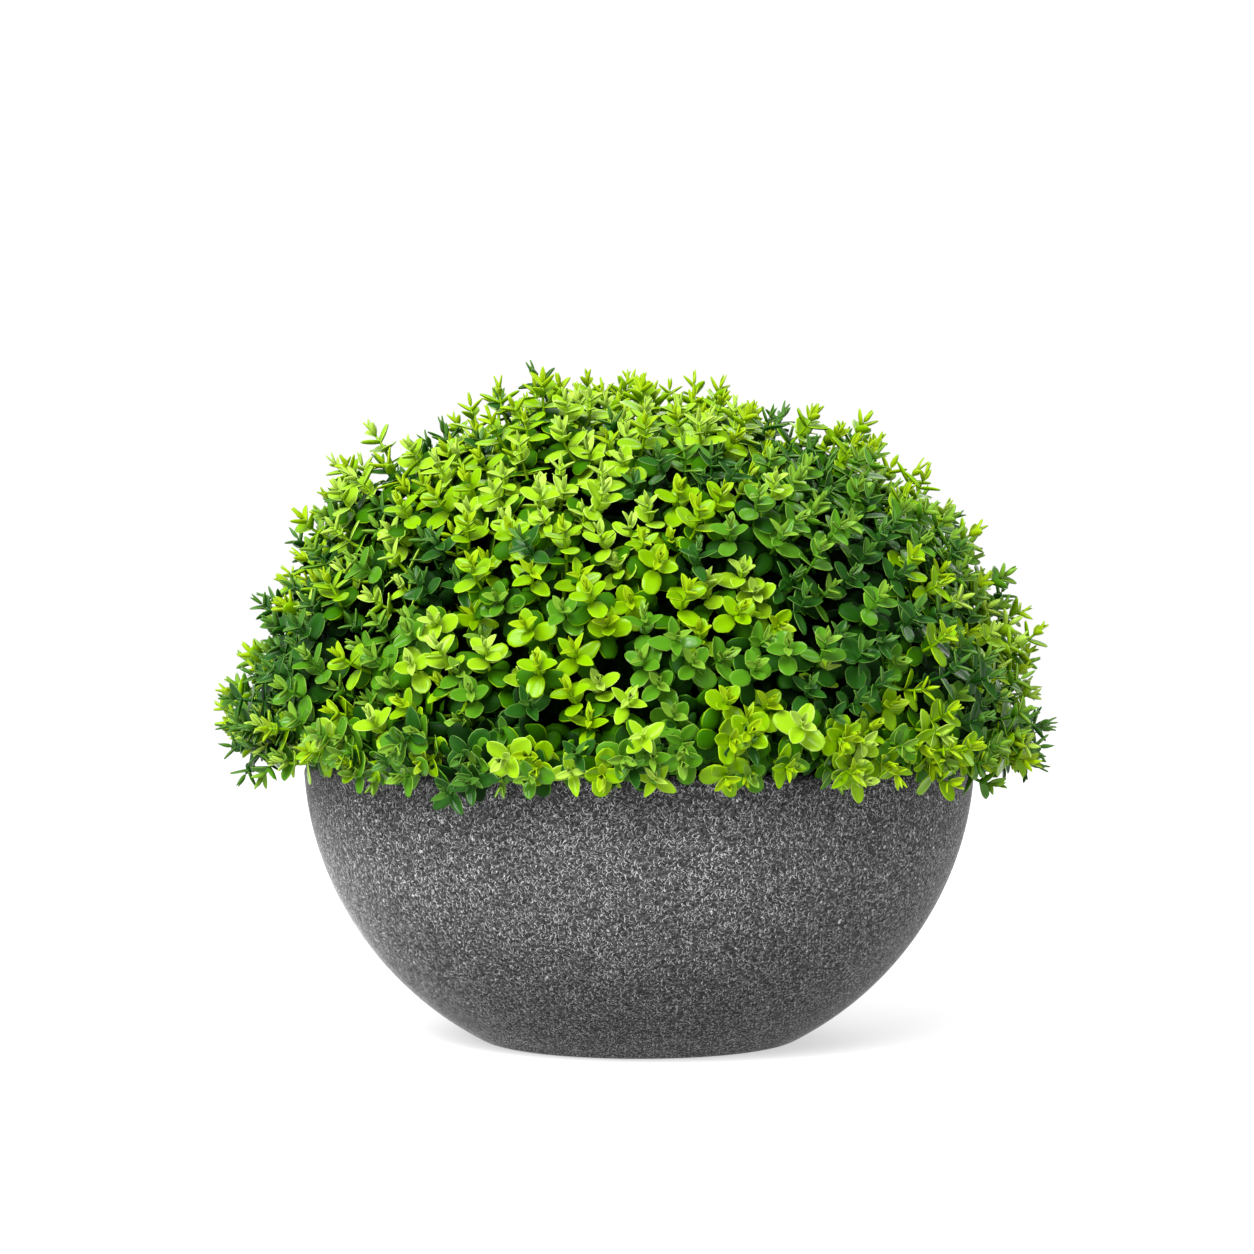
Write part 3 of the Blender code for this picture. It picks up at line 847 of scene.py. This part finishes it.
def leaf_form(length, width, exponents, cup, bend, fine, chance):
    """Points, triangles and rim marks of a closed leaf along +X with its upper face to +Z."""
    share = np.array(FINE_STATIONS if fine else COARSE_STATIONS)
    columns = np.array(FINE_COLUMNS if fine else COARSE_COLUMNS)
    base, tip = exponents
    widest = base / (base + tip)
    half = width / 2.0 * (share / widest) ** base * ((1.0 - share) / (1.0 - widest)) ** tip
    waves = 1.0 + np.array([[chance.uniform(-EDGE_STRAY, EDGE_STRAY) for _ in share] for _ in range(2)])
    bend = bend + chance.uniform(-BEND_STRAY, BEND_STRAY)
    cup = cup + chance.uniform(-CUP_STRAY, CUP_STRAY)
    puff = PUFF if cup < 0.0 else 0.0
    spine = length * (bend * share**2 + 4.0 * puff * share * (1.0 - share))
    rise = cup * columns**2 - RIB_DEPTH * (1.0 - np.abs(columns)) ** RIB_POWER
    thick = LEAF_THICKNESS / 2.0
    top = np.empty((len(share), len(columns), 3))
    top[..., 0] = (length * share)[:, None]
    top[..., 1] = half[:, None] * columns * np.where(columns < 0.0, waves[0][:, None], waves[1][:, None])
    top[..., 2] = spine[:, None] + half[:, None] * rise + np.where(np.abs(columns) < 1.0, thick, 0.0)
    under = np.stack((length * share, 0.0 * share, spine - RIB_DEPTH * half - thick), axis=1)
    points = np.vstack(((0.0, 0.0, 0.0), top.reshape(-1, 3), under, (length, 0.0, length * bend)))
    end = len(points) - 1
    lines = []
    for j in range(len(columns)):
        lines.append([0, *range(1 + j, 1 + len(share) * len(columns), len(columns)), end])
    below = [0, *range(end - len(share), end), end]
    faces = []
    rims = []
    for j, (left, right) in enumerate(zip((below, *lines), (*lines, below))):
        for a in range(len(share) + 1):
            corners = [left[a], left[a + 1], right[a + 1], right[a]]
            if a < len(share):
                faces.append(corners[:3])
            if a > 0:
                faces.append([corners[0], corners[2], corners[3]])
        rims += [fine and j in (1, len(columns) - 1)] * (2 * len(share))
    return points, np.array(faces), np.array(rims)


def leaf_forms():
    """For each shape and each pair, a few forms of leaf that differ by chance."""
    chance = random.Random(FORM_SEED)
    forms = {}
    for shape, (wider, sharper) in LEAF_SHAPES.items():
        for pair, (_, _, length, width, base, tip, cup, bend, fine) in enumerate(LEAF_PAIRS):
            exponents = (base, tip + sharper)
            forms[shape, pair] = [
                leaf_form(length, width * wider, exponents, cup, bend, fine, chance)
                for _ in range(VARIANTS)
            ]
    return forms


def clear(points):
    """Whether points are off the bowl, within the crown's reach and inside the model's box."""
    low, high = cad_box
    if (points < np.array(low) + BOX_MARGIN).any() or (points > np.array(high) - BOX_MARGIN).any():
        return False
    below = points[points[:, 2] < BOWL_HEIGHT + BOWL_MARGIN]
    if (np.hypot(below[:, 0], below[:, 1]) < belly(below[:, 2]) + BOWL_MARGIN).any():
        return False
    arms = points - CROWN_MIDDLE
    far = np.linalg.norm(arms, axis=1)
    azimuth, polar = angles(arms / far[:, None])
    return (far < SPRIG_REACH * crown_reach(azimuth, np.minimum(polar, math.pi / 2.0))).all()


class Leaves:
    """The leaves of one mass, gathered as arrays."""

    def __init__(self):
        self.points = []
        self.faces = []
        self.slots = []
        self.count = 0

    def add(self, form, turn, root, blade, rim):
        """Puts in a leaf at its own size, or smaller where that isn't clear, or not at all."""
        points, faces, rims = form
        for size in SMALLER_TRIES:
            placed = root + size * points @ turn
            if clear(placed[1:]):
                self.points.append(placed)
                self.faces.append(faces + self.count)
                self.slots.append(np.where(rims, rim, blade))
                self.count += len(points)
                return


def tone_slot(family, tone):
    return list(TONES).index(f"{family}_{tone}")


def leafy_sprig(path, family, forms, leaves, chance):
    """Pairs of opposite leaves down a sprig, each pair a quarter turn from the last."""
    steps = np.linalg.norm(np.diff(path, axis=0), axis=1)
    marks = np.concatenate(((0.0,), np.cumsum(steps)))
    start = chance.uniform(0.0, math.pi)
    whole = chance.uniform(*SPRIG_SIZES)
    slim = SLIM_CHANCES[family]
    if angles(unit(path[-1] - CROWN_MIDDLE))[1] < HIGH_ABOVE:
        slim += SLIM_HIGH
    shape = "slim" if chance.random() < slim else "round"
    for pair, (below, spread, *_) in enumerate(LEAF_PAIRS):
        mark = marks[-1] - whole * below
        if mark < 0.0:
            return
        root = np.array([np.interp(mark, marks, path[:, k]) for k in range(3)])
        behind = np.array([np.interp(mark - PATH_STEP, marks, path[:, k]) for k in range(3)])
        way = unit(root - behind)
        side, other = across(way)
        blade = tone_slot(family, PAIR_TONES[pair])
        # Rims take a paler tone, partly the plastic's paler edge and partly painted highlight; on the low
        # pairs they take the mid tone
        rim = tone_slot(family, "mid" if PAIR_TONES[pair] == "low" else "rim")
        for opposite in (0.0, math.pi):
            turn = start + pair * math.pi / 2.0 + opposite + chance.uniform(-TURN_STRAY, TURN_STRAY)
            open_by = math.radians(spread) + chance.uniform(-SPREAD_STRAY, SPREAD_STRAY)
            outward = math.cos(turn) * side + math.sin(turn) * other
            along = math.cos(open_by) * way + math.sin(open_by) * outward
            face = math.sin(open_by) * way - math.cos(open_by) * outward
            turned = whole * np.array((along, np.cross(face, along), face))
            leaves.add(chance.choice(forms[shape, pair]), turned, root, blade, rim)


def crown():
    """Twigs and sprigs as one piece, and the leaves of each mass as one piece, or two for the top."""
    chance = random.Random(SPRIG_SEED)
    twigs = list(source_twigs())
    dealt = chance.choices(list(FAMILY_CHANCES), list(FAMILY_CHANCES.values()), k=len(twigs))
    ways = np.array([way for _, way, _, _ in twigs])
    finishes = [leaf_tone(name, tone) for name, tone in TONES.items()]
    forms = leaf_forms()
    gathered = {}
    stems = []
    stem_slots = []

    def add_sprig(number, way, path, thick, family):
        shape = tube(path, np.linspace(thick, SPRIG_THIN, len(path)), SPRIG_SIDES)
        stems.append(shape)
        stem_slots.extend([tone_slot(family, "mid")] * len(shape[1]))
        name = mass_name(number)
        label = name.replace("foliage", "leaves")
        if number is None:
            label += "_front" if way[1] < 0.0 else "_back"
        leafy_sprig(path, family, forms, gathered.setdefault((label, name), Leaves()), chance)

    for (number, way, path, _), family in zip(twigs, dealt):
        if angles(way)[1] > SKIRT_BELOW:
            add_sprig(number, way, np.array(path), TWIG_THICK, family_of(way, family))
        else:
            stems.append(tube(path, np.linspace(TWIG_THICK, SPRIG_THIN, len(path)), SPRIG_SIDES))
            # Twigs inside the crown take their family's low tone, partly painted shade
            stem_slots.extend([tone_slot(family, "low")] * len(stems[-1][1]))
    for way in spread_headings(SPRIGS, SPRIG_JITTER, chance):
        nearest = int(np.argmax(ways @ way))
        number, _, twig_path, reached = twigs[nearest]
        family = family_of(way, dealt[nearest])
        if chance.random() < ODD_SPRIGS:
            family = chance.choice(list(FAMILY_CHANCES))
        if angles(way)[1] > SKIRT_BELOW:
            path = hanging_sprig(way, chance)
        else:
            path = dome_sprig(way, twig_path, reached, chance)
        add_sprig(number, way, path, SPRIG_THICK, family)
    points, faces = joined(stems)
    dress(piece("twigs", points, faces, finishes, stem_slots), "foliage", *mass_names())
    for (label, name), leaves in gathered.items():
        slots = np.concatenate(leaves.slots)
        made = piece(label, np.vstack(leaves.points), np.vstack(leaves.faces), finishes, slots)
        dress(made, "foliage", name)


def tangle():
    """The inner crown: a thick rough shell, open in the middle, that the limbs enter from below."""
    turns = np.linspace(0.0, 2.0 * math.pi, TANGLE_COLUMNS, endpoint=False)
    polars = np.linspace(0.0, math.pi / 2.0, TANGLE_ROWS + 1)[1:]
    rings = [[in_crown(turn, polar, CORE_INSIDE) for turn in turns] for polar in polars[::INSIDE_STEP]]
    rings.append([in_crown(turn, math.pi / 2.0, CORE_INSIDE) for turn in turns])
    for polar in polars[::-1]:
        ring = []
        for turn in turns:
            place = Vector(heading(turn, polar)) * TANGLE_SCALE * CROWN_RADIUS
            rough = noise.fractal(place, *TANGLE_FRACTAL)
            ring.append(in_crown(turn, polar, TANGLE_OUTSIDE + TANGLE_ROUGHNESS * (rough - 0.5)))
        rings.append(ring)
    points, faces = skin(rings, in_crown(0.0, 0.0, CORE_INSIDE), in_crown(0.0, 0.0, TANGLE_OUTSIDE))
    dress(piece("inner_crown", points, faces, [tangle_painted_shade()]), "foliage", *mass_names())


def studio():
    """Camera, white surroundings, pale floor, softboxes in front and behind, and a lamp for glints."""
    scene = bpy.context.scene
    scene.view_settings.view_transform = "Standard"
    lens = bpy.data.cameras.new("camera")
    lens.lens = CAMERA_LENS
    eye = bpy.data.objects.new("camera", lens)
    eye.location = CAMERA_PLACE
    eye.rotation_euler = (math.pi / 2.0, 0.0, 0.0)
    scene.collection.objects.link(eye)
    scene.camera = eye
    world = bpy.data.worlds.new("studio")
    world.use_nodes = True
    background = world.node_tree.nodes["Background"]
    background.inputs["Color"].default_value = WHITE
    background.inputs["Strength"].default_value = STUDIO_WHITE
    scene.world = world
    for name, (place, side, watts) in SOFTBOXES.items():
        light = bpy.data.lights.new(name, "AREA")
        light.shape = "SQUARE"
        light.size = side
        light.energy = watts
        softbox = bpy.data.objects.new(name, light)
        softbox.location = place
        softbox.rotation_euler = (SOFTBOX_AIM - place).to_track_quat("-Z", "Y").to_euler()
        scene.collection.objects.link(softbox)
    half = FLOOR_SIDE / 2.0
    corners = [(-half, -half, 0.0), (half, -half, 0.0), (half, half, 0.0), (-half, half, 0.0)]
    pale = (FLOOR_WHITE, FLOOR_WHITE, FLOOR_WHITE, 1.0)
    finish = Finish("floor_white", Base_Color=pale, Roughness=FLOOR_ROUGHNESS, Specular_IOR_Level=0.0)
    finish.shader.inputs["Emission Color"].default_value = WHITE
    finish.shader.inputs["Emission Strength"].default_value = FLOOR_GLOW
    piece("floor", corners, [(0, 1, 2, 3)], [finish.material])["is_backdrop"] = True


studio()
bowl()
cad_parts["filling"].material_slots[0].material = dark_filling()
bark = stem_bark()
stem(bark)
limbs(bark)
tangle()
crown()

boxes = {"cad": cad_box, "visual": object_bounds()}
{name: [list(corner) for corner in box] for name, box in boxes.items()}
